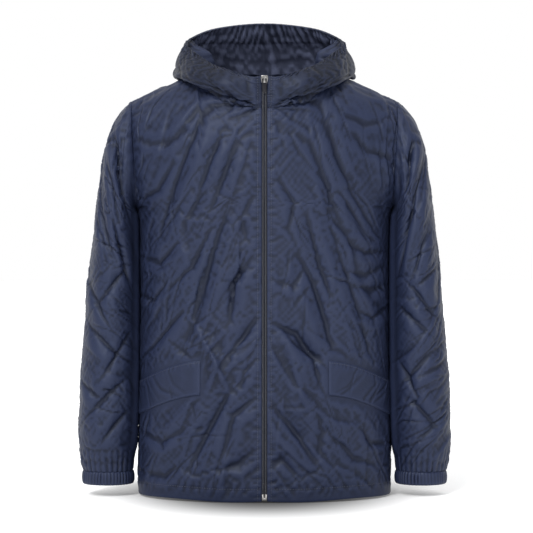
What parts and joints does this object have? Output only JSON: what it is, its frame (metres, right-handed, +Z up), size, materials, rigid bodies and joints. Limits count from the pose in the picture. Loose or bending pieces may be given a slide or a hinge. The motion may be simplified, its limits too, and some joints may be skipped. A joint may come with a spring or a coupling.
{
  "type": "kids raincoat",
  "caption": "Child's hooded rain jacket of thin crinkled fabric, zipped to the top, filled out with no wearer; open hem, neck and elastic cuffs, slanted pocket flaps.",
  "frame": {"origin": "centre of the neck opening, level with the shoulder line beside it, where the wearer's shoulders and neck hold the jacket", "axes": "+Z up along the wearer, -Y towards the front with the zip, +X towards the wearer's left"},
  "size_m": [0.4438, 0.2274, 0.5722],
  "materials": {
    "shell": "satin",
    "zip_tape": "matte",
    "zip_metal": "satin",
    "pull_metal": "satin"
  },
  "bodies": {
    "jacket": {"front_left": "shell", "front_right": "shell", "back": "shell", "sleeve_left": "shell", "sleeve_right": "shell", "cuff_left": "shell", "cuff_right": "shell", "hood_left": "shell", "hood_right": "shell", "pocket_flap_left": "shell", "pocket_flap_right": "shell", "zip_tape_left": "zip_tape", "zip_tape_right": "zip_tape", "zip_slider": "zip_metal", "zip_box": "zip_metal"},
    "pull": {"zip_pull": "pull_metal"}
  },
  "joints": [
    {"name": "pull_swing", "type": "hinge", "parent": "jacket", "child": "pull", "pos_m": [0, -0.0921, -0.0243], "axis": [-1, 0, 0], "range_deg": [0, 150]}
  ]
}
